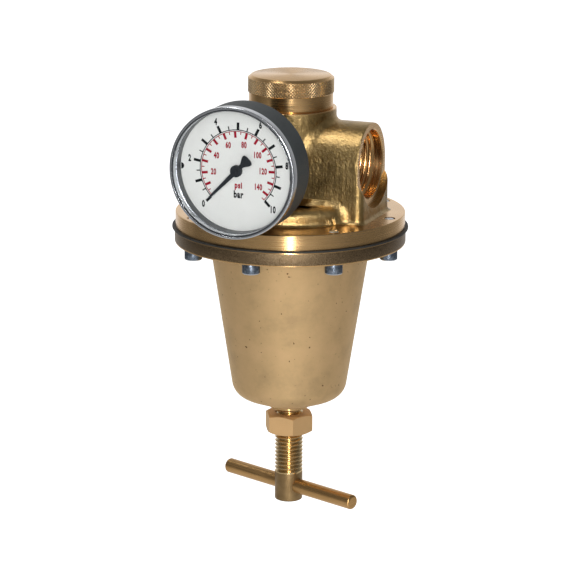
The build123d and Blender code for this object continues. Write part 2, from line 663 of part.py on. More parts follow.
def rear_plug():
    """Plug in the second gauge port, with a collar and a hexagon socket."""
    face = REAR_BOSS_FACE_Y + GAUGE_SEAL_THICK
    plug = along_y(GAUGE_THREAD_RADIUS - 0.02, 17.5, face, PORT_AXIS_Z)
    plug += along_y(9.0, face, face + 3.0, PORT_AXIS_Z)
    socket = Pos(0, face + 4.0, PORT_AXIS_Z) * Rot(90, 0, 0) * extrude(hexagon(6.0), 7.0)
    return plug - socket


def rear_plug_seal():
    """Sealing ring under the rear plug's collar."""
    face = REAR_BOSS_FACE_Y
    ring = along_y(SEAL_RADIUS, face, face + GAUGE_SEAL_THICK, PORT_AXIS_Z)
    return ring - along_y(GAUGE_THREAD_RADIUS + 0.1, face - 1, face + 3, PORT_AXIS_Z)


# ---- export -------------------------------------------------------------------------------
PARTS = [
    body, valve_seat, stem_guide, valve_stem, valve_poppet, valve_disc, valve_spring, valve_cap, cap_seal,
    diaphragm, upper_diaphragm_plate, lower_diaphragm_plate, diaphragm_hub, diaphragm_nut,
    main_spring, spring_seat, thrust_ball, adjusting_screw, cross_bar, jam_nut, bonnet, cap_screws,
    gauge_case, gauge_window, gauge_dial, gauge_pointer, pointer_shaft, sector_gear, sector_link,
    bourdon_tube, gauge_socket, movement_plates, gauge_seal, rear_plug, rear_plug_seal,
]

os.makedirs("parts", exist_ok=True)
for make_part in PARTS:
    export_step(TO_ROW_FRAME * make_part(), f"parts/{make_part.__name__}.step")
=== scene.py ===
"""Looks of the air pressure regulator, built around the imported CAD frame.

Lengths are millimetres in the design frame: Z is the regulator's main axis, z = 0 is the middle of
the diaphragm, the pipe ports lie along X and the gauge faces -Y. to_row() moves them to the frame.
"""
import json
from math import cos, hypot, pi, radians, sin, tan

import bmesh
import bpy
import numpy as np
from mathutils import Matrix, Vector


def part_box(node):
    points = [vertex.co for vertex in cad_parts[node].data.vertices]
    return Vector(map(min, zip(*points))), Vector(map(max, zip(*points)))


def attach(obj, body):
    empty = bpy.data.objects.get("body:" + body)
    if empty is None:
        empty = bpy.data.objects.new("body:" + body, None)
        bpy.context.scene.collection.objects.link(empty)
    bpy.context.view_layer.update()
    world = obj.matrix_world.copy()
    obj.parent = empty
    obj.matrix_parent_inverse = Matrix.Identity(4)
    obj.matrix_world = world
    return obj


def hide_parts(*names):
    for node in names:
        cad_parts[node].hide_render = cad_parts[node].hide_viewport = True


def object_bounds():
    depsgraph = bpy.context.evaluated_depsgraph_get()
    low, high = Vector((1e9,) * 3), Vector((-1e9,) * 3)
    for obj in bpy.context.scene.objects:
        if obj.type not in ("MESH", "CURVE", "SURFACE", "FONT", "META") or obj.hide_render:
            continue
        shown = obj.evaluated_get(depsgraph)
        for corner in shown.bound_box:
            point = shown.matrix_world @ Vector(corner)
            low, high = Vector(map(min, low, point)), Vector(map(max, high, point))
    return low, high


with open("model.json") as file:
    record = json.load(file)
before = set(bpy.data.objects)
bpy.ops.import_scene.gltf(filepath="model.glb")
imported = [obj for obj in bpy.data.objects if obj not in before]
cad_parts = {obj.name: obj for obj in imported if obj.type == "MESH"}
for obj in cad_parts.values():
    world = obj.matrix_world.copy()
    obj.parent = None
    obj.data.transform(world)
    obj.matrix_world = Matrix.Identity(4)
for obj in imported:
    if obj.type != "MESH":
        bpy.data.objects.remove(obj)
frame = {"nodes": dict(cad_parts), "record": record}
cad_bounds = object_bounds()

MM = 0.001
SEGMENTS = 256                   # round a turned piece
SHARP_ANGLE = 32.0               # degrees; a smaller angle between faces is shaded smooth
DIAPHRAGM_HALF = 0.7
bonnet_low, bonnet_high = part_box("bonnet")
DATUM = Vector(((bonnet_low[0] + bonnet_high[0]) / 2, 0.0, bonnet_high[2] + DIAPHRAGM_HALF * MM))


# ---- meshes -------------------------------------------------------------------------------
def to_row(points):
    """Design points in millimetres as row coordinates in metres."""
    return np.asarray(points, dtype=float) * MM + np.array(DATUM)


def new_object(name, points, faces, materials, body="housing", sharp=SHARP_ANGLE):
    """A mesh piece from design points, smooth but for its sharp edges, riding on a body."""
    mesh = bpy.data.meshes.new(name)
    mesh.from_pydata(to_row(points).tolist(), [], faces)
    return finish_object(name, mesh, materials, body, sharp)


def finish_object(name, mesh, materials, body, sharp):
    """Cleans a mesh, gives it its materials and makes it ride on its body."""
    work = bmesh.new()
    work.from_mesh(mesh)
    bmesh.ops.remove_doubles(work, verts=work.verts, dist=1e-7)
    bmesh.ops.triangulate(work, faces=[face for face in work.faces if len(face.verts) > 4])
    bmesh.ops.recalc_face_normals(work, faces=work.faces)
    work.to_mesh(mesh)
    work.free()
    for material in materials:
        mesh.materials.append(material)
    mesh.shade_smooth()
    mesh.set_sharp_from_angle(angle=radians(sharp))
    piece = bpy.data.objects.new(name, mesh)
    bpy.context.collection.objects.link(piece)
    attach(piece, body)
    return piece


def rounded(points, steps=5):
    """An outline of (radius, height) points; a third number rounds that corner by a radius."""
    done = []
    count = len(points)
    for i, point in enumerate(points):
        corner = Vector(point[:2])
        if len(point) == 2:
            done.append(tuple(corner))
            continue
        before = (Vector(points[i - 1][:2]) - corner).normalized()
        after = (Vector(points[(i + 1) % count][:2]) - corner).normalized()
        half = before.angle(after) / 2
        centre = corner + (before + after).normalized() * point[2] / sin(half)
        first = corner + before * point[2] / tan(half) - centre
        last = corner + after * point[2] / tan(half) - centre
        turn = pi - 2 * half
        for k in range(steps + 1):
            share = k / steps
            arm = first * sin((1 - share) * turn) + last * sin(share * turn)
            done.append(tuple(centre + arm / sin(turn)))
    return done


def upright(radius, angle, height):
    """A point of a turned piece on the main axis."""
    return (radius * cos(angle), radius * sin(angle), height)


def turned_mesh(outline, segments, place, closed=True):
    """Points and faces of a shape turned from (radius, height) points."""
    count = len(outline)
    points = []
    for j in range(segments):
        angle = 2 * pi * j / segments
        points += [place(radius, angle, height) for radius, height in outline]
    faces = []
    for j in range(segments):
        a, b = j * count, (j + 1) % segments * count
        for i in range(count if closed else count - 1):
            k = (i + 1) % count
            faces.append((a + i, a + k, b + k, b + i))
    return points, faces


def joined(meshes):
    """Several (points, faces) lists as one."""
    points, faces = [], []
    for more_points, more_faces in meshes:
        start = len(points)
        points += more_points
        faces += [tuple(start + corner for corner in face) for face in more_faces]
    return points, faces


def lathe(name, outline, materials, place=upright, sharp=SHARP_ANGLE, closed=True):
    """A turned piece of the housing from an outline of (radius, height) points."""
    points, faces = turned_mesh(outline, SEGMENTS, place, closed)
    return new_object(name, points, faces, materials, "housing", sharp)


# ---- materials ----------------------------------------------------------------------------
def new_material(name):
    """A node material with its Principled shader; returns the material, its nodes and links."""
    material = bpy.data.materials.new(name)
    material.use_nodes = True
    nodes = material.node_tree.nodes
    return material, nodes, material.node_tree.links, nodes["Principled BSDF"]


def noise(nodes, links, scale, detail=3.0, stretch=(1, 1, 1), roughness=0.5):
    """A noise texture over object coordinates, scale being features in a metre."""
    coords = nodes.new("ShaderNodeTexCoord")
    mapping = nodes.new("ShaderNodeMapping")
    mapping.inputs["Scale"].default_value = stretch
    texture = nodes.new("ShaderNodeTexNoise")
    texture.inputs["Scale"].default_value = scale
    texture.inputs["Detail"].default_value = detail
    texture.inputs["Roughness"].default_value = roughness
    links.new(coords.outputs["Object"], mapping.inputs["Vector"])
    links.new(mapping.outputs["Vector"], texture.inputs["Vector"])
    return texture.outputs["Fac"]


def ramp(nodes, links, source, stops):
    """A colour ramp over a value; stops are (place, colour) pairs."""
    node = nodes.new("ShaderNodeValToRGB")
    elements = node.color_ramp.elements
    while len(elements) < len(stops):
        elements.new(0.5)
    for element, (place, colour) in zip(elements, stops):
        element.position = place
        element.color = (*colour, 1)
    links.new(source, node.inputs["Fac"])
    return node.outputs["Color"]


def spread(nodes, links, source, low, high, first=0.0, last=1.0):
    """A value mapped from one range to another, clamped."""
    node = nodes.new("ShaderNodeMapRange")
    node.inputs["From Min"].default_value = low
    node.inputs["From Max"].default_value = high
    node.inputs["To Min"].default_value = first
    node.inputs["To Max"].default_value = last
    links.new(source, node.inputs["Value"])
    return node.outputs["Result"]


def bump(nodes, links, height, distance, under=None):
    """A bump from a height, its distance in millimetres."""
    node = nodes.new("ShaderNodeBump")
    node.inputs["Distance"].default_value = distance * MM
    node.inputs["Strength"].default_value = 1.0
    links.new(height, node.inputs["Height"])
    if under:
        links.new(under, node.inputs["Normal"])
    return node.outputs["Normal"]


def metal(name, dark, light, roughness, grain=900, grain_depth=0.02, blotch=60):
    """Plain metal: two tones in soft blotches, uneven gloss and a fine grain."""
    uneven = 0.06
    material, nodes, links, shader = new_material(name)
    shader.inputs["Metallic"].default_value = 1.0
    tone = noise(nodes, links, blotch, detail=4)
    links.new(ramp(nodes, links, tone, [(0.35, dark), (0.65, light)]), shader.inputs["Base Color"])
    fine = noise(nodes, links, grain)
    gloss = spread(nodes, links, fine, 0.3, 0.7, roughness - uneven, roughness + uneven)
    links.new(gloss, shader.inputs["Roughness"])
    links.new(bump(nodes, links, fine, grain_depth), shader.inputs["Normal"])
    return material


def turned_brass(name="turned_brass", dark=(0.62, 0.385, 0.165), light=(0.71, 0.45, 0.205),
                 roughness=0.24, along="Z", stretch=(40, 40, 2600)):
    """Brass cut on a lathe: fine rings round the axis and a highlight drawn out across them."""
    material, nodes, links, shader = new_material(name)
    shader.inputs["Metallic"].default_value = 1.0
    shader.inputs["Anisotropic"].default_value = 0.75
    shader.inputs["Anisotropic Rotation"].default_value = 0.25
    tangent = nodes.new("ShaderNodeTangent")
    tangent.direction_type = "RADIAL"
    tangent.axis = along
    links.new(tangent.outputs["Tangent"], shader.inputs["Tangent"])
    rings = noise(nodes, links, 1.0, 2, stretch)
    tone = noise(nodes, links, 70)
    links.new(ramp(nodes, links, tone, [(0.3, dark), (0.7, light)]), shader.inputs["Base Color"])
    gloss = spread(nodes, links, rings, 0.3, 0.7, roughness - 0.05, roughness + 0.06)
    links.new(gloss, shader.inputs["Roughness"])
    links.new(bump(nodes, links, rings, 0.004), shader.inputs["Normal"])
    return material


def cast_brass():
    """Bright cast skin of the body: coarse sparkle, draw marks down the walls and darker blotches at random.
    """
    material, nodes, links, shader = new_material("cast_brass_skin")
    shader.inputs["Metallic"].default_value = 1.0
    tone = noise(nodes, links, 90, detail=6, roughness=0.65)
    dark, middle, light = (0.27, 0.178, 0.066), (0.43, 0.29, 0.118), (0.60, 0.415, 0.18)
    tones = ramp(nodes, links, tone, [(0.3, dark), (0.5, middle), (0.72, light)])
    links.new(tones, shader.inputs["Base Color"])
    grain = noise(nodes, links, 1250, roughness=0.6)
    lumps = noise(nodes, links, 480)
    marks = noise(nodes, links, 1.0, stretch=(900, 900, 60))
    links.new(spread(nodes, links, tone, 0.3, 0.7, 0.27, 0.38), shader.inputs["Roughness"])
    normal = bump(nodes, links, lumps, 0.24)
    normal = bump(nodes, links, marks, 0.12, under=normal)
    normal = bump(nodes, links, grain, 0.16, under=normal)
    links.new(normal, shader.inputs["Normal"])
    return material


def blasted_brass():
    """Satin brass of the bonnet: fine blasted grain, faint stains and small pits darkened as painted shade.
    """
    material, nodes, links, shader = new_material("blasted_brass_skin")
    shader.inputs["Metallic"].default_value = 1.0
    tone = noise(nodes, links, 60, detail=7, roughness=0.68)
    tones = [(0.32, (0.57, 0.40, 0.21)), (0.5, (0.67, 0.475, 0.25)), (0.7, (0.73, 0.52, 0.285))]
    base = ramp(nodes, links, tone, tones)
    # painted shade: the small pits are dark specks in the colour only, the shade in them painted in
    pits = noise(nodes, links, 520, detail=2)
    pit_shade_mask = spread(nodes, links, pits, 0.70, 0.76)
    mix = nodes.new("ShaderNodeMix")
    mix.data_type = "RGBA"
    mix.inputs["B"].default_value = (0.16, 0.09, 0.035, 1)
    links.new(pit_shade_mask, mix.inputs["Factor"])
    links.new(base, mix.inputs["A"])
    links.new(mix.outputs["Result"], shader.inputs["Base Color"])
    grain = noise(nodes, links, 3000, detail=2)
    links.new(spread(nodes, links, tone, 0.3, 0.7, 0.60, 0.68), shader.inputs["Roughness"])
    links.new(bump(nodes, links, grain, 0.02), shader.inputs["Normal"])
    return material


def plastic(name, dark, light, roughness, depth=0.01, gloss=0.5):
    """Moulded plastic, rubber, paint or ink: two close tones and a fine grain."""
    material, nodes, links, shader = new_material(name)
    shader.inputs["Specular IOR Level"].default_value = gloss
    tone = noise(nodes, links, 120)
    links.new(ramp(nodes, links, tone, [(0.3, dark), (0.7, light)]), shader.inputs["Base Color"])
    fine = noise(nodes, links, 2500, detail=2)
    sheen = spread(nodes, links, fine, 0.3, 0.7, roughness - 0.05, roughness + 0.05)
    links.new(sheen, shader.inputs["Roughness"])
    links.new(bump(nodes, links, fine, depth), shader.inputs["Normal"])
    return material


def clear_plastic():
    """Clear acrylic pane of the gauge, with a few faint scratches."""
    material, nodes, links, shader = new_material("clear_acrylic")
    shader.inputs["Base Color"].default_value = (0.10, 0.11, 0.115, 1)
    scratches = noise(nodes, links, 300, detail=2)
    links.new(spread(nodes, links, scratches, 0.55, 0.8, 0.02, 0.10), shader.inputs["Roughness"])
    links.new(spread(nodes, links, scratches, 0.60, 0.9, 0.02, 0.05), shader.inputs["Alpha"])
    return material


TURNED = turned_brass()
TURNED_X = turned_brass("turned_brass_port", along="X", stretch=(2600, 40, 40))
CAST = cast_brass()
BLASTED = blasted_brass()
MOVEMENT = metal("movement_brass_sheet", (0.55, 0.39, 0.14), (0.72, 0.53, 0.24), 0.28)
# painted shade and painted highlight: one zinc plating as a darkened copy for the screw heads' sides under
# the bonnet's flange and a light copy for their bottom rims and upper ends
PLATED = metal("zinc_plate_painted_shade", (0.10, 0.125, 0.16), (0.26, 0.30, 0.36), 0.34, grain_depth=0.08, blotch=700)
EDGE_ZINC = metal("zinc_edge_painted_highlight", (0.55, 0.58, 0.62), (0.70, 0.73, 0.77), 0.40)
FLANGE_EDGE = metal("grained_flange_edge", (0.10, 0.066, 0.034), (0.30, 0.21, 0.12), 0.42, grain=2600,
                    grain_depth=0.07, blotch=2600)
STEEL = metal("ground_steel", (0.42, 0.42, 0.44), (0.60, 0.60, 0.62), 0.25)
SPRING_STEEL = metal("spring_wire", (0.16, 0.16, 0.17), (0.30, 0.30, 0.32), 0.35)
WORN = turned_brass("worn_turned_brass", (0.55, 0.32, 0.12), (0.64, 0.38, 0.155), 0.30)
KNURLED = metal("knurled_brass", (0.64, 0.455, 0.25), (0.76, 0.545, 0.30), 0.24, grain_depth=0.004,
                blotch=200)
THREADED = metal("threaded_brass", (0.56, 0.40, 0.20), (0.66, 0.48, 0.25), 0.24, grain_depth=0.004,
                 blotch=200)
SCREW_END = metal("dull_screw_end", (0.24, 0.155, 0.07), (0.34, 0.225, 0.105), 0.45, grain_depth=0.006,
                  blotch=200)
NUT = metal("milled_brass", (0.72, 0.49, 0.25), (0.78, 0.535, 0.275), 0.68, grain=2400, grain_depth=0.01)
COPPER = metal("annealed_copper", (0.55, 0.25, 0.14), (0.75, 0.40, 0.26), 0.35)
RUBBER = plastic("black_rubber", (0.012, 0.012, 0.011), (0.03, 0.028, 0.025), 0.6, depth=0.03)
CASE = plastic("case_moulding", (0.019, 0.026, 0.028), (0.026, 0.034, 0.036), 0.55)
DIAL_WHITE = plastic("dial_paint", (0.80, 0.815, 0.79), (0.84, 0.855, 0.83), 0.55)
INK_BLACK = plastic("black_ink", (0.004, 0.005, 0.006), (0.007, 0.008, 0.010), 0.6, gloss=0.15)
INK_RED = plastic("red_ink", (0.30, 0.004, 0.018), (0.37, 0.008, 0.026), 0.5, gloss=0.15)
POINTER_BLACK = plastic("pointer_paint", (0.010, 0.013, 0.016), (0.018, 0.022, 0.027), 0.45,
                        gloss=0.3)
CLEAR = clear_plastic()
# painted reflection: the clear acrylic rim gets a silver metal colour for the light it catches
RIM = metal("acrylic_rim_painted_reflection", (0.52, 0.54, 0.57), (0.62, 0.64, 0.67), 0.20, grain_depth=0.002)
# painted shade: the dark colour of the rim's groove and the deep part of its skirt, where shade falls; the
# catch on the rim takes the same dark colour
RIM_SHADE = plastic("rim_dark_and_painted_shade", (0.035, 0.04, 0.045), (0.05, 0.055, 0.06), 0.35)

# CAD nodes take the material of their slot, but for the few in NODE_SPECIALS
NODE_MATERIALS = {
    "turned_brass": TURNED, "cast_brass": CAST, "blasted_brass": BLASTED, "movement_brass": MOVEMENT,
    "steel": STEEL, "spring_steel": SPRING_STEEL, "plated_steel": PLATED, "rubber": RUBBER,
    "diaphragm_rubber": RUBBER, "case_plastic": CASE, "clear_plastic": CLEAR, "dial_white": DIAL_WHITE,
    "pointer_black": POINTER_BLACK, "copper_seal": COPPER,
}
NODE_SPECIALS = {"jam_nut": NUT, "cross_bar": WORN, "gauge_socket": NUT}


def dress_cad_nodes():
    """Gives every CAD node its procedural material."""
    for part in frame["record"]["subparts"]:
        data = frame["nodes"][part["node"]].data
        data.materials.clear()
        data.materials.append(NODE_SPECIALS.get(part["node"]) or NODE_MATERIALS[part["material_slot"]])
        data.set_sharp_from_angle(angle=radians(30))


# ---- camera, lights and stage -------------------------------------------------------------
CAMERA_AZIMUTH = 21.16           # degrees from the front, towards the outlet
CAMERA_ELEVATION = 14.51
CAMERA_ROLL = 0.35
CAMERA_DISTANCE = 1314.5         # millimetres
CAMERA_AIM = (-0.98, -11.03, -21.14)     # right, up, and height on the main axis
CAMERA_LENS = 166.97
KEY_ELEVATION = 12
KEY_DISTANCE = 1.7               # metres, as all sizes of lights are
WHITE = (0.9, 0.9, 0.9, 1)
FLOOR_DROP = 0.25                # metres from the object's foot down to the floor
# brightness of the room, from the wall behind the object (0) to the one behind the camera (1)
ROOM = [(0.0, 0.95), (0.06, 0.80), (0.16, 0.36), (0.35, 0.16), (0.75, 0.18), (0.93, 0.34), (1.0, 0.42)]


def direction(azimuth, elevation):
    """The unit vector from the object towards a place around it; azimuth 0 is in front."""
    a, e = radians(azimuth), radians(elevation)
    return Vector((sin(a) * cos(e), -cos(a) * cos(e), sin(e)))


def make_camera():
    """The camera at the angle, distance and lens of the photograph's view."""
    back = direction(CAMERA_AZIMUTH, CAMERA_ELEVATION)
    level = Vector((cos(radians(CAMERA_AZIMUTH)), sin(radians(CAMERA_AZIMUTH)), 0))
    above = back.cross(level)
    roll = radians(CAMERA_ROLL)
    right = level * cos(roll) + above * sin(roll)
    up = above * cos(roll) - level * sin(roll)
    aim_right, aim_up, aim_height = CAMERA_AIM
    place = Vector((0, 0, aim_height)) + back * CAMERA_DISTANCE + right * aim_right + up * aim_up
    data = bpy.data.cameras.new("camera")
    data.sensor_width = 36.0
    data.lens = CAMERA_LENS
    data.clip_end = 50.0
    camera = bpy.data.objects.new("camera", data)
    axes = Matrix((right, up, back)).transposed().to_4x4()
    camera.matrix_world = Matrix.Translation(Vector(to_row(place))) @ axes
    bpy.context.collection.objects.link(camera)
    bpy.context.scene.camera = camera


def area_light(name, azimuth, elevation, distance, width, height, power):
    """A white soft box facing the object."""
    data = bpy.data.lights.new(name, "AREA")
    data.shape = "RECTANGLE"
    data.size, data.size_y = width, height
    data.energy = power
    light = bpy.data.objects.new(name, data)
    towards = direction(azimuth, elevation)
    light.location = DATUM + towards * distance
    light.rotation_mode = "QUATERNION"
    light.rotation_quaternion = towards.to_track_quat("Z", "Y")
    light.visible_camera = False
    bpy.context.collection.objects.link(light)
    return light


def make_lights():
    """A key box and a tall strip over the camera, a box overhead, a glow from below and the room."""
    area_light("key_box", CAMERA_AZIMUTH, KEY_ELEVATION, KEY_DISTANCE, width=0.17, height=0.50, power=12)
    area_light("key_strip", CAMERA_AZIMUTH, KEY_ELEVATION, KEY_DISTANCE, width=0.14, height=2.4, power=11)
    area_light("top_box", CAMERA_AZIMUTH - 80, 69, 1.4, width=0.40, height=0.40, power=5)
    table = area_light("table_glow", 0, 90, -0.20, width=0.9, height=0.9, power=1.1)
    table.rotation_quaternion = Vector((0, 0, -1)).to_track_quat("Z", "Y")
    world = bpy.data.worlds.new("room")
    bpy.context.scene.world = world
    world.use_nodes = True
    nodes, links = world.node_tree.nodes, world.node_tree.links
    background = nodes["Background"]
    coords = nodes.new("ShaderNodeTexCoord")
    facing_front = nodes.new("ShaderNodeVectorMath")
    facing_front.operation = "DOT_PRODUCT"
    facing_front.inputs[1].default_value = direction(CAMERA_AZIMUTH, 0)
    links.new(coords.outputs["Generated"], facing_front.inputs[0])
    share = spread(nodes, links, facing_front.outputs["Value"], -1, 1)
    greys = [(place, (value, value, value)) for place, value in ROOM]
    links.new(ramp(nodes, links, share, greys), background.inputs["Color"])
    background.inputs["Strength"].default_value = 1.0


def make_stage():
    """A plain white floor under the regulator."""
    half_size = 12.0
    work = bmesh.new()
    bmesh.ops.create_grid(work, x_segments=1, y_segments=1, size=half_size)
    mesh = bpy.data.meshes.new("floor")
    work.to_mesh(mesh)
    work.free()
    floor = bpy.data.objects.new("floor", mesh)
    floor.location = (0, 0, cad_bounds[0][2] - FLOOR_DROP)
    material, _, _, shader = new_material("floor_white")
    shader.inputs["Base Color"].default_value = WHITE
    shader.inputs["Roughness"].default_value = 1.0
    shader.inputs["Specular IOR Level"].default_value = 0.0
    shader.inputs["Emission Color"].default_value = (1, 1, 1, 1)
    shader.inputs["Emission Strength"].default_value = 1.0
    mesh.materials.append(material)
    bpy.context.collection.objects.link(floor)
    floor.visible_glossy = False
    floor.visible_diffuse = False


def set_view():
    """Plain colour output, so that white stays white."""
    bpy.context.scene.view_settings.view_transform = "Standard"


# ---- body ---------------------------------------------------------------------------------
SCREW_RADIUS = 6.95
SCREW_PITCH = 2.0
SCREW_TOP = -67.5
SCREW_RUNOUT = -127.0
SCREW_BOTTOM = -141.5
PORT_Z = 33.3
PORT_FACE = 41.7
PORT_RADIUS = 16.62
PORT_DEPTH = 18
STOCK = 2                        # left on the casting for machining
CASTING_BOTTOM = -2.7
FILLET = 3.0
BLOCK_END = 44.2
BLOCK_HALF = 20.1
BLOCK_ROUND = 3.5
SPOT_RADIUS = 21.15
NECK_RADIUS = 22.2
NECK_TOP = 58.6
CAP_BORE = 18.0
RIM_TOP = -0.15                  # the diaphragm's rim, squeezed between the flanges
RIM_BOTTOM = -0.95
CAVITY_RADIUS = 36               # the room above the diaphragm
DRUM_RADIUS = 40.0
DRUM_TOP = 15.4
DRUM_ROUND = 4.0
FLANGE_RADIUS = 56.2
FLANGE_TOP = 7.3
GAUGE_Z = 40.0
GAUGE_BACK = -55.2
BOSS_RADIUS = 12.0
GAUGE_BOSS_FACE = -41.0
REAR_BOSS_FACE = 26.0
BOLT_CIRCLE = 51.15
BOLT_ANGLES = [radians(-90 + 45 * i) for i in range(8)]
VOXEL = 0.7                      # of the remeshed casting
SMOOTHINGS = 6                   # rounds of evening out its mesh


def rounded_pair(a, b, radius):
    """Distance to where two slabs meet in an outer edge rounded by a radius."""
    over_a = np.maximum(a + radius, 0)
    over_b = np.maximum(b + radius, 0)
    return np.minimum(np.maximum(a, b), -radius) + np.hypot(over_a, over_b)


def filleted_pair(a, b, radius):
    """Distance to two joined shapes with a fillet of a radius in the inner corner."""
    near_a = np.maximum(radius - a, 0)
    near_b = np.maximum(radius - b, 0)
    return np.maximum(radius, np.minimum(a, b)) - np.hypot(near_a, near_b)


def casting_distance(p):
    """Signed distance to the body casting, fillets included, before it is machined.

    Drum, block and neck have no underside here, so the seed's underside settles on the drum's top.
    """
    x, y, z = p[:, 0], p[:, 1], p[:, 2]
    around = np.hypot(x, y)
    neck = np.maximum(around - NECK_RADIUS, z - NECK_TOP - STOCK)
    wall = rounded_pair(np.abs(x) - BLOCK_END, np.abs(y) - BLOCK_HALF, BLOCK_ROUND)
    arch = rounded_pair(np.abs(x) - BLOCK_END, np.hypot(y, z - PORT_Z) - BLOCK_HALF, BLOCK_ROUND)
    block = np.where(z < PORT_Z, wall, arch)
    drum = rounded_pair(around - DRUM_RADIUS, z - DRUM_TOP, DRUM_ROUND)
    gauge_end = np.maximum(y, GAUGE_BOSS_FACE - STOCK - y)
    gauge_boss = np.maximum(np.hypot(x, z - GAUGE_Z) - BOSS_RADIUS, gauge_end)
    rear_end = np.maximum(-y, y - REAR_BOSS_FACE - STOCK)
    rear_boss = np.maximum(np.hypot(x, z - PORT_Z) - BOSS_RADIUS, rear_end)
    shape = filleted_pair(block, neck, FILLET)
    shape = filleted_pair(shape, gauge_boss, FILLET)
    shape = filleted_pair(shape, rear_boss, 2.5)
    shape = filleted_pair(shape, drum, FILLET)
    flange = np.maximum(around - FLANGE_RADIUS - STOCK, CASTING_BOTTOM - z)
    return filleted_pair(shape, np.maximum(z - FLANGE_TOP, flange), 2.0)


def seed_solid():
    """Rough overlapping solids of the casting, which the remesh turns into one skin."""
    work = bmesh.new()

    def cylinder(radius, length, centre, turn=None):
        matrix = Matrix.Translation(Vector(centre))
        if turn:
            matrix = matrix @ Matrix.Rotation(pi / 2, 4, turn)
        bmesh.ops.create_cone(work, cap_ends=True, segments=96, radius1=radius, radius2=radius,
                              depth=length, matrix=matrix)

    cylinder(FLANGE_RADIUS + STOCK, 10, (0, 0, FLANGE_TOP - 5))
    cylinder(DRUM_RADIUS, 14, (0, 0, DRUM_TOP - 7))
    cylinder(NECK_RADIUS, 60, (0, 0, NECK_TOP + STOCK - 30))
    cylinder(BLOCK_HALF, 2 * BLOCK_END, (0, 0, PORT_Z), "Y")
    cylinder(BOSS_RADIUS, 43, (0, GAUGE_BOSS_FACE - STOCK + 21.5, GAUGE_Z), "X")
    cylinder(BOSS_RADIUS, 28, (0, REAR_BOSS_FACE + STOCK - 14, PORT_Z), "X")
    size = Matrix.Diagonal((2 * BLOCK_END, 2 * BLOCK_HALF, PORT_Z, 1))
    bmesh.ops.create_cube(work, size=1, matrix=Matrix.Translation((0, 0, PORT_Z / 2)) @ size)
    mesh = bpy.data.meshes.new("casting_seed")
    work.to_mesh(mesh)
    work.free()
    return mesh


def run_modifiers(piece):
    """Applies the modifiers of a piece and returns the new mesh."""
    graph = bpy.context.evaluated_depsgraph_get()
    mesh = bpy.data.meshes.new_from_object(piece.evaluated_get(graph))
    piece.modifiers.clear()
    piece.data = mesh
    return mesh


def keep_outer_shell(mesh):
    """Deletes the shells that the remesh leaves inside the solid."""
    work = bmesh.new()
    work.from_mesh(mesh)
    start = max(work.verts, key=lambda vert: vert.co.z)
    reached, front = {start}, [start]
    while front:
        vert = front.pop()
        for edge in vert.link_edges:
            other = edge.other_vert(vert)
            if other not in reached:
                reached.add(other)
                front.append(other)
    bmesh.ops.delete(work, geom=[vert for vert in work.verts if vert not in reached], context="VERTS")
    work.to_mesh(mesh)
    work.free()


def settle(points, rounds):
    """Moves points onto the casting's surface along its gradient."""
    step = 0.02                  # half the span that a gradient is measured over
    for _ in range(rounds):
        distance = casting_distance(points)
        gradient = np.stack([
            (casting_distance(points + step * axis) - casting_distance(points - step * axis)) / (2 * step)
            for axis in np.eye(3)
        ], axis=1)
        length = np.maximum(np.linalg.norm(gradient, axis=1), 0.2)
        points = points - gradient * (distance / length ** 2)[:, None]
    return points


def cast_skin():
    """The casting as a fine mesh: remeshed rough solids settled onto the exact surface."""
    skin = bpy.data.objects.new("casting", seed_solid())
    bpy.context.collection.objects.link(skin)
    remesh = skin.modifiers.new("remesh", "REMESH")
    remesh.mode = "VOXEL"
    remesh.voxel_size = VOXEL
    mesh = run_modifiers(skin)
    keep_outer_shell(mesh)
    count = len(mesh.vertices)
    points = np.empty(count * 3)
    mesh.vertices.foreach_get("co", points)
    points = settle(points.reshape(-1, 3), rounds=6)
    edges = np.empty(len(mesh.edges) * 2, dtype=int)
    mesh.edges.foreach_get("vertices", edges)
    first, second = edges[::2], edges[1::2]
    for _ in range(SMOOTHINGS):
        total = np.zeros_like(points)
        number = np.zeros(count)
        np.add.at(total, first, points[second])
        np.add.at(total, second, points[first])
        np.add.at(number, first, 1)
        np.add.at(number, second, 1)
        points = settle(points * 0.5 + 0.5 * total / number[:, None], rounds=2)
    mesh.vertices.foreach_set("co", points.ravel())
    return skin


def cutter(name, outline=None, axis="Z", centre=(0, 0, 0), box=None, segments=160):
    """A closed solid, turned about an axis through a centre, or a box of spans, in millimetres."""
    work = bmesh.new()
    if box:
        low, high = Vector([s[0] for s in box]), Vector([s[1] for s in box])
        matrix = Matrix.Translation((low + high) / 2) @ Matrix.Diagonal((*(high - low), 1))
        bmesh.ops.create_cube(work, size=1, matrix=matrix)
    else:
        rings = []
        for radius, height in outline:
            ring = []
            for j in range(segments):
                a = 2 * pi * j / segments
                local = (radius * cos(a), radius * sin(a), height)
                shift = "ZYX".index(axis)
                turned = local[shift:] + local[:shift]
                ring.append(work.verts.new(Vector(turned) + Vector(centre)))
            rings.append(ring)
        for lower, upper in zip(rings, rings[1:]):
            for j in range(segments):
                k = (j + 1) % segments
                work.faces.new((lower[j], lower[k], upper[k], upper[j]))
        work.faces.new(rings[0])
        work.faces.new(rings[-1])
        bmesh.ops.recalc_face_normals(work, faces=work.faces)
    mesh = bpy.data.meshes.new(name)
    work.to_mesh(mesh)
    work.free()
    piece = bpy.data.objects.new(name, mesh)
    bpy.context.collection.objects.link(piece)
    return piece


def carve(piece, tool, operation):
    """Cuts a piece by a tool, or keeps what lies in it, and throws the tool away."""
    boolean = piece.modifiers.new("carve", "BOOLEAN")
    boolean.operation = operation
    boolean.solver = "MANIFOLD"
    boolean.object = tool
    run_modifiers(piece)
    bpy.data.objects.remove(tool)


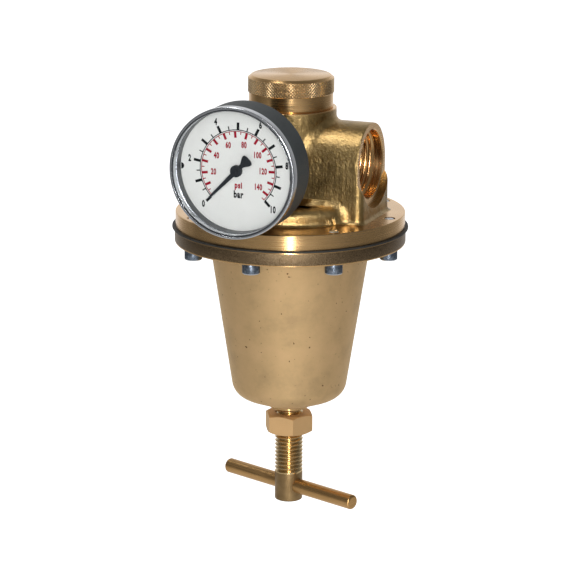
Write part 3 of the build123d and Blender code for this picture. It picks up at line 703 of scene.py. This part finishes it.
def machine(skin):
    """Turns, faces and bores the casting.

    Each tool's end has an inner ring inside the next bore, so no flat face is left with a hole in it.
    """
    blank = [
        (30, RIM_TOP), (FLANGE_RADIUS - 0.2, RIM_TOP), (FLANGE_RADIUS, RIM_TOP + 0.2),
        (FLANGE_RADIUS, FLANGE_TOP - 0.35), (FLANGE_RADIUS - 0.35, FLANGE_TOP + 0.01),
        (50, FLANGE_TOP + 0.6), (50, 54.5), (24, 54.5), (24, NECK_TOP - 1.9),
        (NECK_RADIUS - 0.2, NECK_TOP), (12, NECK_TOP),
    ]
    carve(skin, cutter("blank", blank, segments=512), "INTERSECT")
    cap_bore = [(CAP_BORE, 60), (CAP_BORE, 52), (16, 52), (16, 35.5), (8, 35.5)]
    carve(skin, cutter("cap_bore", cap_bore, segments=256), "DIFFERENCE")
    spindle_bore = [(11, 36), (11, 31), (15, 31), (15, 13), (6, 13), (6, 9), (CAVITY_RADIUS, 9),
                    (CAVITY_RADIUS, -1)]
    carve(skin, cutter("spindle_bore", spindle_bore), "DIFFERENCE")
    sensing_hole = cutter("sensing_hole", [(1.5, 8), (1.5, 14)], centre=(11, 0, 0), segments=24)
    carve(skin, sensing_hole, "DIFFERENCE")
    for side in (-1, 1):
        face, bottom = side * PORT_FACE, side * (PORT_FACE - PORT_DEPTH)
        spot = [(12, face), (SPOT_RADIUS, face), (SPOT_RADIUS, side * (BLOCK_END + 3))]
        bore = [(PORT_RADIUS + 1.5, side * (PORT_FACE + 1)), (PORT_RADIUS + 0.5, face),
                (PORT_RADIUS, side * (PORT_FACE - 0.5)), (PORT_RADIUS, bottom), (1, bottom)]
        for name, outline in (("spot_face", spot), ("port_bore", bore)):
            carve(skin, cutter(name, outline, "X", (0, 0, PORT_Z), segments=256), "DIFFERENCE")
    carve(skin, cutter("inlet_slot", box=((-26, -10), (-11, 11), (36, 48))), "DIFFERENCE")
    carve(skin, cutter("outlet_slot", box=((10, 26), (-11, 11), (18, 30))), "DIFFERENCE")
    for z, face, end in ((GAUGE_Z, GAUGE_BOSS_FACE, -4), (PORT_Z, REAR_BOSS_FACE, 4)):
        facer = [(4, face), (14, face), (14, face + end)]
        carve(skin, cutter("boss_face", facer, "Y", (0, 0, z)), "DIFFERENCE")
    for z, start, end in ((GAUGE_Z, GAUGE_BOSS_FACE - 1, -29), (PORT_Z, REAR_BOSS_FACE + 1, 17)):
        carve(skin, cutter("gauge_bore", [(6.6, start), (6.6, end)], "Y", (0, 0, z)), "DIFFERENCE")
    for angle in BOLT_ANGLES:
        place = (BOLT_CIRCLE * cos(angle), BOLT_CIRCLE * sin(angle), 0)
        hole = [(2.55, 0), (2.55, FLANGE_TOP - 0.5), (3.1, FLANGE_TOP + 0.1)]
        carve(skin, cutter("bolt_hole", hole, centre=place, segments=48), "DIFFERENCE")


def skin_number(centre, normal):
    """Which skin a face of the body has: 0 cast, 1 turned or faced, 2 bored along the ports."""
    x, y, z = centre
    around = hypot(x, y)
    off_port = hypot(y, z - PORT_Z)
    rim = around > FLANGE_RADIUS - 0.6
    flange_top = around > DRUM_RADIUS + 2.6 and z < FLANGE_TOP + 0.05
    ends = z > NECK_TOP - 0.6 or z < DIAPHRAGM_HALF
    port = off_port < SPOT_RADIUS + 0.1 and abs(x) > PORT_FACE - 0.1 and abs(normal[0]) > 0.9
    bore = around < 21.0 and z > 30
    bosses = y < GAUGE_BOSS_FACE + 0.1 or (y > REAR_BOSS_FACE - 0.1 and around < 30)
    if off_port < PORT_RADIUS + 0.6 and abs(x) > 20:
        return 2
    return int(rim or flange_top or ends or port or bore or bosses)


def paint_faces(piece, rule):
    """Gives each face of a piece the material number that a rule finds for its place, in millimetres."""
    for face in piece.data.polygons:
        place = (face.center - DATUM) / MM
        face.material_index = rule(place, face.normal)


def make_body():
    """The body: cast skin with its machined flange, ports, neck and bosses."""
    skin = cast_skin()
    machine(skin)
    mesh = skin.data
    bpy.data.objects.remove(skin)
    mesh.materials.clear()
    points = np.empty(len(mesh.vertices) * 3)
    mesh.vertices.foreach_get("co", points)
    mesh.vertices.foreach_set("co", to_row(points.reshape(-1, 3)).ravel())
    body = finish_object("body_casting", mesh, [CAST, TURNED, TURNED_X], "housing", 38)
    paint_faces(body, skin_number)
    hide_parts("body")


# ---- screw threads ------------------------------------------------------------------------
THREAD_SEGMENTS = 120
THREAD_RUNOUT = 0.5              # pitches over which a thread fades into its end
PIPE_PITCH = 2.309
PIPE_THREAD_START = 4.5          # inside the port's face


def thread_mesh(profile, pitch, bottom, top, end_radii, place):
    """A thread wound on an axis from one pitch of its profile, (radius, share of pitch) points.

    It runs out into plain circles of the two end radii, at bottom and top.
    """
    per_turn = len(profile)
    rows = per_turn * (int((top - bottom) / pitch) + 2)
    points = []
    for j in range(THREAD_SEGMENTS):
        for i in range(rows):
            radius, share = profile[i % per_turn]
            height = bottom + pitch * (i // per_turn + share + j / THREAD_SEGMENTS - 1)
            height = min(max(height, bottom), top)
            for end_radius, gap in ((end_radii[0], height - bottom), (end_radii[1], top - height)):
                radius += (end_radius - radius) * max(0.0, 1 - gap / (THREAD_RUNOUT * pitch))
            points.append(place(radius, 2 * pi * j / THREAD_SEGMENTS, height))
    faces = []
    for j in range(THREAD_SEGMENTS):
        k = (j + 1) % THREAD_SEGMENTS
        shift = per_turn if k == 0 else 0
        for i in range(rows - 1 - shift):
            a, b = j * rows + i, k * rows + i + shift
            faces.append((a, a + 1, b + 1, b))
    return points, faces


def make_adjusting_screw():
    """Adjusting screw: M14 thread down to the plain end that holds the cross bar."""
    top, runout, bottom = SCREW_TOP, SCREW_RUNOUT, SCREW_BOTTOM
    core = 5.8
    profile = [(5.74, 0.0), (5.85, 0.10), (6.90, 0.42), (6.95, 0.46), (6.95, 0.54), (6.90, 0.58),
               (5.85, 0.90)]
    thread = thread_mesh(profile, SCREW_PITCH, runout, top, (SCREW_RADIUS, core), upright)
    lower = rounded([(0, bottom), (SCREW_RADIUS, bottom, 0.7), (SCREW_RADIUS, runout)])
    upper = [(core, top), (0, top)]
    ends = [turned_mesh(outline, THREAD_SEGMENTS, upright, closed=False) for outline in (lower, upper)]
    points, faces = joined([thread] + ends)
    screw = new_object("adjusting_screw_thread", points, faces, [THREADED, SCREW_END],
                       "adjusting_screw")
    paint_faces(screw, lambda place, normal: int(place.z < SCREW_RUNOUT))
    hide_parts("adjusting_screw")


def make_port_threads():
    """Pipe thread inside both ports, as a sleeve let into the bore."""
    profile = [(16.55, 0.0), (16.45, 0.12), (15.25, 0.42), (15.12, 0.5), (15.25, 0.58), (16.45, 0.88)]
    low, high = PORT_FACE - PORT_DEPTH, PORT_FACE - PIPE_THREAD_START
    back = [(16.5, low), (16.9, low), (16.9, high), (16.6, high)]
    for name, side in (("inlet_thread", -1), ("outlet_thread", 1)):
        def place(radius, angle, height):
            return (side * height, radius * cos(angle), PORT_Z + radius * sin(angle))

        thread = thread_mesh(profile, PIPE_PITCH, low, high, (16.5, 16.6), place)
        sleeve = turned_mesh(back, THREAD_SEGMENTS, place, closed=False)
        points, faces = joined([thread, sleeve])
        new_object(name, points, faces, [TURNED_X], "housing")


# ---- valve cap ----------------------------------------------------------------------------
CAP_RADIUS = 20.5
KNURL_RADIUS = 20.9
KNURL_BOTTOM = 66.1
KNURL_ROWS = 18
KNURL_TEETH = 86
KNURL_DEPTH = 0.22
KNURL_PITCH = 2 * pi * KNURL_RADIUS / KNURL_TEETH
CAP_TOP = 74.3
CAP_TOP_RADIUS = 19.1


def ridge(turns):
    """Height of a V-shaped ridge that repeats every turn, from 0 to 1."""
    return 1 - abs(2 * (turns % 1) - 1)


def knurled(radius, angle, height):
    """A point of the cap, its knurled radius being cut by two crossing screw lines that leave flats."""
    if radius == KNURL_RADIUS:
        along = angle / (2 * pi) * KNURL_TEETH
        across = (height - KNURL_BOTTOM) / KNURL_PITCH
        radius -= KNURL_DEPTH * (1 - 2 * min(0.5, ridge(along + across), ridge(along - across)))
    return upright(radius, angle, height)


def split_at_grooves(points, faces):
    """Knurl faces as two triangles that meet along the more level, then the lower, diagonal."""
    flat = 0.1
    done = []
    for face in faces:
        a, b, c, d = (hypot(*points[corner][:2]) for corner in face)
        if max(abs(a - b), abs(b - c), abs(c - d)) < flat or abs(a + c - b - d) < flat:
            done.append(face)
            continue
        level = (round(abs(a - c), 3), a + c) < (round(abs(b - d), 3), b + d)
        first, second, third, fourth = face if level else face[1:] + face[:1]
        done += [(first, second, third), (first, third, fourth)]
    return done


def make_valve_cap():
    """Valve cap: pilot and spring pocket below, plain collar, diamond knurl and flat top."""
    knurl = [(KNURL_RADIUS, KNURL_BOTTOM + i * KNURL_PITCH / 4) for i in range(KNURL_ROWS + 1)]
    knurl_end = knurl[-1][1]
    outside = rounded([
        (15.9, 47), (15.9, 48.3), (13.8, 48.3), (13.8, 50.7), (15.9, 50.7), (15.9, 52), (17.95, 52.2),
        (17.95, NECK_TOP), (CAP_RADIUS, NECK_TOP, 0.3), (CAP_RADIUS, KNURL_BOTTOM - 0.35, 0.2),
        (KNURL_RADIUS - KNURL_DEPTH, KNURL_BOTTOM - 0.1),
    ], 3)
    inside = [(0, 58.5), (6, 58.5), (6, 47), (7.2, 47), (7.2, 54), (10.6, 54), (10.6, 47)]
    crown = [(KNURL_RADIUS - 0.3, knurl_end + 0.15), (20.35, knurl_end + 0.3),
             (CAP_TOP_RADIUS + 0.25, CAP_TOP - 0.1), (CAP_TOP_RADIUS, CAP_TOP), (0, CAP_TOP)]
    outline = inside + outside + knurl + crown
    points, faces = turned_mesh(outline, 4 * KNURL_TEETH, knurled, closed=False)
    faces = split_at_grooves(points, faces)
    cap = new_object("knurled_cap", points, faces, [TURNED, KNURLED], sharp=25)
    paint_faces(cap, lambda place, normal: int(KNURL_BOTTOM < place.z < knurl_end))
    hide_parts("valve_cap")


# ---- flange screws ------------------------------------------------------------------------
HEAD_RADIUS = 4.28
HEAD_TOP = -8.0
HEAD_BOTTOM = -13.2
HEAD_KNURLS = 48
HEAD_KNURL_HALF = 0.06           # half the depth of the head's knurl
SOCKET_HALF = 2.0
SOCKET_DEPTH = 2.6
SHANK_RADIUS = 2.5


def screw_place(centre_x, centre_y):
    """The place function of one flange screw, with its knurled head and hexagon socket."""
    def place(radius, angle, height):
        if radius == HEAD_RADIUS:
            radius -= HEAD_KNURL_HALF * (1 - cos(HEAD_KNURLS * angle))
        if radius == SOCKET_HALF:
            radius = SOCKET_HALF / cos((angle + pi / 6) % (pi / 3) - pi / 6)
        return (centre_x + radius * cos(angle), centre_y + radius * sin(angle), height)
    return place


def make_flange_screws():
    """Eight socket head screws through both flanges, their ends domed on the upper side."""
    outline = [
        (0, HEAD_BOTTOM + SOCKET_DEPTH), (SOCKET_HALF, HEAD_BOTTOM + SOCKET_DEPTH),
        (SOCKET_HALF, HEAD_BOTTOM), (3.55, HEAD_BOTTOM), (3.95, HEAD_BOTTOM + 0.12),
        (4.16, HEAD_BOTTOM + 0.4), (HEAD_RADIUS, HEAD_BOTTOM + 0.55), (HEAD_RADIUS, HEAD_TOP - 0.5),
        (4.16, HEAD_TOP - 0.2), (4.0, HEAD_TOP), (SHANK_RADIUS, HEAD_TOP),
        (SHANK_RADIUS, FLANGE_TOP - 0.55), (2.1, FLANGE_TOP - 0.15), (0, FLANGE_TOP - 0.05),
    ]
    meshes = []
    for angle in BOLT_ANGLES:
        place = screw_place(BOLT_CIRCLE * cos(angle), BOLT_CIRCLE * sin(angle))
        meshes.append(turned_mesh(outline, 96, place, closed=False))
    points, faces = joined(meshes)
    screws = new_object("flange_screws", points, faces, [PLATED, EDGE_ZINC], "housing")
    # painted light: the heads' sides take the darkened zinc as painted shade under the flange; their bottom
    # rims and the ends above the flange take the light zinc as painted highlight
    edge = HEAD_BOTTOM + 0.6
    paint_faces(screws, lambda place, normal: int(place.z < edge or place.z > 0))
    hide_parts("cap_screws")


# ---- gauge --------------------------------------------------------------------------------
DIAL_FACE = 12.5
BAR_ARC = 19.0                   # radii of the dial's lines and figures
BAR_FIGURES = 24.6
PSI_ARC = 18.3
PSI_FIGURES = 12.4
LUG_RADIUS = 28.6                # black half-round lug at the left edge of the dial
LUG_HALF = 1.5
SWEEP_START = 225.0
SWEEP = 270.0
FULL_BAR = 10.0
RIM_RADIUS = 31.1
PANE_RADIUS = 29.05
PSI_PER_BAR = 14.504


def facing(radius, angle, depth):
    """A point of a piece turned on the gauge's axis, depth measured forward from its back."""
    return (radius * cos(angle), GAUGE_BACK - depth, GAUGE_Z + radius * sin(angle))


def scale_angle(bar):
    """The angle of a pressure on the dial, in radians."""
    return radians(SWEEP_START - SWEEP * bar / FULL_BAR)


def plate(corners, low, high):
    """A flat plate of the gauge from (u, v) corners, between two depths."""
    count = len(corners)
    points = [(u, GAUGE_BACK - depth, GAUGE_Z + v) for depth in (low, high) for u, v in corners]
    faces = [tuple(range(count)), tuple(range(2 * count - 1, count - 1, -1))]
    faces += [(i, (i + 1) % count, count + (i + 1) % count, count + i) for i in range(count)]
    return points, faces


def print_on_dial(corners):
    """One printed mark on the dial, as a very thin plate."""
    return plate(corners, DIAL_FACE - 0.05, DIAL_FACE + 0.03)


def tick(angle, inner, outer, width):
    """A radial mark on the dial."""
    along = Vector((cos(angle), sin(angle)))
    side = Vector((-sin(angle), cos(angle))) * width / 2
    near, far = along * inner, along * outer
    return print_on_dial([near - side, far - side, far + side, near + side])


def arc_line(radius, width, first, last):
    """A curved line on the dial between two angles."""
    steps = 120
    angles = [first + (last - first) * i / steps for i in range(steps + 1)]
    meshes = []
    inner, outer = radius - width / 2, radius + width / 2
    for a, b in zip(angles, angles[1:]):
        corners = [(r * cos(t), r * sin(t)) for r, t in ((inner, a), (outer, a), (outer, b), (inner, b))]
        meshes.append(print_on_dial(corners))
    return joined(meshes)


def lettering(text, u, v, height, stretch=1.0):
    """Printed figures on the dial, centred on a place, as points and faces."""
    capital, boldness = 0.70, 0.07
    curve = bpy.data.curves.new("figures", "FONT")
    curve.body = text
    curve.size = height / capital
    curve.align_x, curve.align_y = "CENTER", "CENTER"
    curve.offset = boldness * height
    curve.space_character = 1.15
    curve.extrude = 0.04
    curve.resolution_u = 4
    label = bpy.data.objects.new("figures", curve)
    bpy.context.collection.objects.link(label)
    graph = bpy.context.evaluated_depsgraph_get()
    mesh = bpy.data.meshes.new_from_object(label.evaluated_get(graph))
    bpy.data.objects.remove(label)
    front = GAUGE_BACK - DIAL_FACE + 0.01
    corners = [vert.co for vert in mesh.vertices]
    points = [(u + stretch * c.x, front - c.z, GAUGE_Z + v + c.y) for c in corners]
    return points, [tuple(face.vertices) for face in mesh.polygons]


def make_dial_print():
    """Black bar scale outside, red psi scale inside, with their figures."""
    first, last = scale_angle(0), scale_angle(FULL_BAR)
    black = [arc_line(BAR_ARC, 0.42, first, last)]
    for i in range(21):
        angle = scale_angle(i / 2)
        outer, width = (22.5, 1.3) if i % 2 == 0 else (20.9, 0.55)
        black.append(tick(angle, BAR_ARC, outer, width))
    for bar in range(0, 11, 2):
        angle = scale_angle(bar)
        black.append(lettering(str(bar), BAR_FIGURES * cos(angle), BAR_FIGURES * sin(angle), 3.0, 0.62))
    black.append(lettering("bar", 0.2, -11.6, 3.2, 0.7))
    turns = [radians(-90 + 15 * i) for i in range(13)]
    black.append(print_on_dial([(-LUG_RADIUS + LUG_HALF * cos(t), LUG_HALF * sin(t)) for t in turns]))
    points, faces = joined(black)
    new_object("dial_print_black", points, faces, [INK_BLACK], "housing", 20)

    red = [arc_line(PSI_ARC, 0.36, first, last)]
    for i in range(1, 30):
        angle = scale_angle(i * 5 / PSI_PER_BAR)
        inner, width = (15.3, 1.2) if i % 2 == 0 else (16.9, 0.45)
        red.append(tick(angle, inner, 18.4, width))
    for psi in range(20, 150, 20):
        angle = scale_angle(psi / PSI_PER_BAR)
        red.append(lettering(str(psi), PSI_FIGURES * cos(angle), PSI_FIGURES * sin(angle), 2.7, 0.62))
    red.append(lettering("psi", 0.2, -7.2, 2.8, 0.75))
    points, faces = joined(red)
    new_object("dial_print_red", points, faces, [INK_RED], "housing", 20)


def make_pointer():
    """Pointer: round hub, tapered hand and a spade-shaped counterweight."""
    angle = radians(SWEEP_START)
    half = [(19.8, 0.28), (19.4, 0.5), (3.0, 1.05), (0.0, 1.2), (-2.5, 1.0), (-3.6, 1.05), (-4.6, 1.5),
            (-5.8, 2.25), (-6.8, 2.75), (-7.5, 2.85), (-8.1, 2.5), (-8.5, 1.6), (-8.6, 0.6)]
    outline = half + [(x, -y) for x, y in reversed(half)]
    turned_outline = [(x * cos(angle) - y * sin(angle), x * sin(angle) + y * cos(angle)) for x, y in outline]
    blade = plate(turned_outline, 14.0, 14.6)
    hub_outline = rounded([(0.6, 13.6), (2.8, 13.6, 0.2), (2.8, 15.7, 0.25), (1.5, 15.7), (1.4, 15.5),
                           (0.9, 15.5), (0.8, 15.8), (0, 15.8), (0, 14.05), (0.6, 14.05)])
    hub = turned_mesh(hub_outline, 64, facing)
    points, faces = joined([blade, hub])
    pointer = new_object("pointer_hand", points, faces, [POINTER_BLACK], "pointer")
    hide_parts("gauge_pointer")


def make_gauge_glass():
    """Clear pane with its snap-on rim: a pale outer band, its silver a painted reflection, a groove and the
    skirt's deep part darkened as painted shade, and an inner lip.
    """
    rim = rounded([
        (PANE_RADIUS, 17.4), (30.1, 17.4), (30.1, 16.8), (RIM_RADIUS, 16.8), (RIM_RADIUS, 21.05, 0.6),
        (29.95, 21.05, 0.12), (29.85, 20.0), (29.45, 20.0), (29.35, 20.75, 0.08), (PANE_RADIUS, 20.75, 0.08),
    ])
    skirt = [(28.85, DIAL_FACE + 0.1), (29.2, DIAL_FACE + 0.1), (29.2, 17.4), (28.85, 17.4)]
    points, faces = joined([turned_mesh(rim, SEGMENTS, facing), turned_mesh(skirt, SEGMENTS, facing)])
    ring = new_object("gauge_glass_rim", points, faces, [RIM, RIM_SHADE], "housing", 40)

    # painted shade: the groove and the skirt's deep part take the dark rim colour in place of the shade in
    # them
    def groove(place, normal):
        radius = hypot(place.x, place.z - GAUGE_Z)
        depth = GAUGE_BACK - place.y
        return int((29.4 < radius < 29.9 and 17.5 < depth < 20.7) or depth < 16)

    paint_faces(ring, groove)
    pane = [(0, 17.5), (PANE_RADIUS, 17.5), (PANE_RADIUS, 19.1), (0, 19.1)]
    glass = lathe("gauge_glass_pane", pane, [CLEAR], facing, closed=False)
    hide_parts("gauge_window")
    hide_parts("gauge_window")
    points, faces = plate([(29.0, -0.8), (30.5, -0.8), (30.5, 3.2), (29.0, 3.2)], 17.6, 20.95)
    new_object("gauge_glass_catch", points, faces, [RIM_SHADE], "housing")


# ---- diaphragm and bonnet -----------------------------------------------------------------
CONE_TOP_RADIUS = 39.62
CONE_CORNER = (27.63, -85.36)
LOWER_FLANGE_RADIUS = 56.6
LOWER_FLANGE_BOTTOM = -8.0
BONNET_BORE = 36.12
FLANGE_LINE = 0.7                # height of the bare lines along both edges of the flange


def make_diaphragm():
    """Rubber diaphragm: flat centre, one rolled fold, and the rim squeezed between the flanges."""
    half, fold_radius, fold_depth = DIAPHRAGM_HALF, 31.5, 3.6

    def fold(radius):
        angles = [pi + pi * i / 12 for i in range(13)]
        return [(fold_radius + radius * cos(a), radius * sin(a)) for a in angles]

    upper = [(4.0, half)] + fold(fold_depth - half) + [(36.2, half), (38.5, RIM_TOP), (57.65, RIM_TOP)]
    edge = [(57.8, RIM_TOP - 0.15), (57.8, RIM_BOTTOM + 0.15), (57.65, RIM_BOTTOM)]
    lower = [(38.5, RIM_BOTTOM), (36.2, -half)] + fold(fold_depth + half)[::-1] + [(4.0, -half)]
    rubber = lathe("diaphragm_sheet", upper + edge + lower, [RUBBER])
    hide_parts("diaphragm")


def make_bonnet():
    """Spring housing: grained flange edge between two small chamfers, and the blasted cone below."""
    radius, top, bottom = LOWER_FLANGE_RADIUS, RIM_BOTTOM, LOWER_FLANGE_BOTTOM
    corner_r, corner_z = CONE_CORNER
    outline = rounded([
        (BONNET_BORE, top), (radius - 0.14, top), (radius, top - FLANGE_LINE),
        (radius, bottom + FLANGE_LINE), (radius - 0.12, bottom + 0.1), (radius - 0.4, bottom),
        (CONE_TOP_RADIUS, bottom, 1.2), (corner_r, corner_z, 8.6), (9.8, -92.1), (9.8, -92.9),
        (7.0, -92.9), (7.0, -74.0), (11.0, -74.0), (13.0, -82.0), (25.2, -78.0, 5.0), (BONNET_BORE, bottom),
    ], 10)
    materials = [BLASTED, FLANGE_EDGE, TURNED]
    shell = lathe("bonnet_casting", outline, materials, sharp=24)

    def finish(place, normal):
        around = hypot(place.x, place.y)
        if around > radius - 0.5:
            return 1 if bottom + FLANGE_LINE < place.z < top - FLANGE_LINE else 2
        return 2 if around < 9.9 and place.z < -92 else 0

    paint_faces(shell, finish)
    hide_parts("bonnet")


# ---- the scene ----------------------------------------------------------------------------
set_view()
make_camera()
make_lights()
make_stage()
dress_cad_nodes()
make_body()
make_diaphragm()
make_bonnet()
make_port_threads()
make_valve_cap()
make_adjusting_screw()
make_flange_screws()
make_dial_print()
make_pointer()
make_gauge_glass()
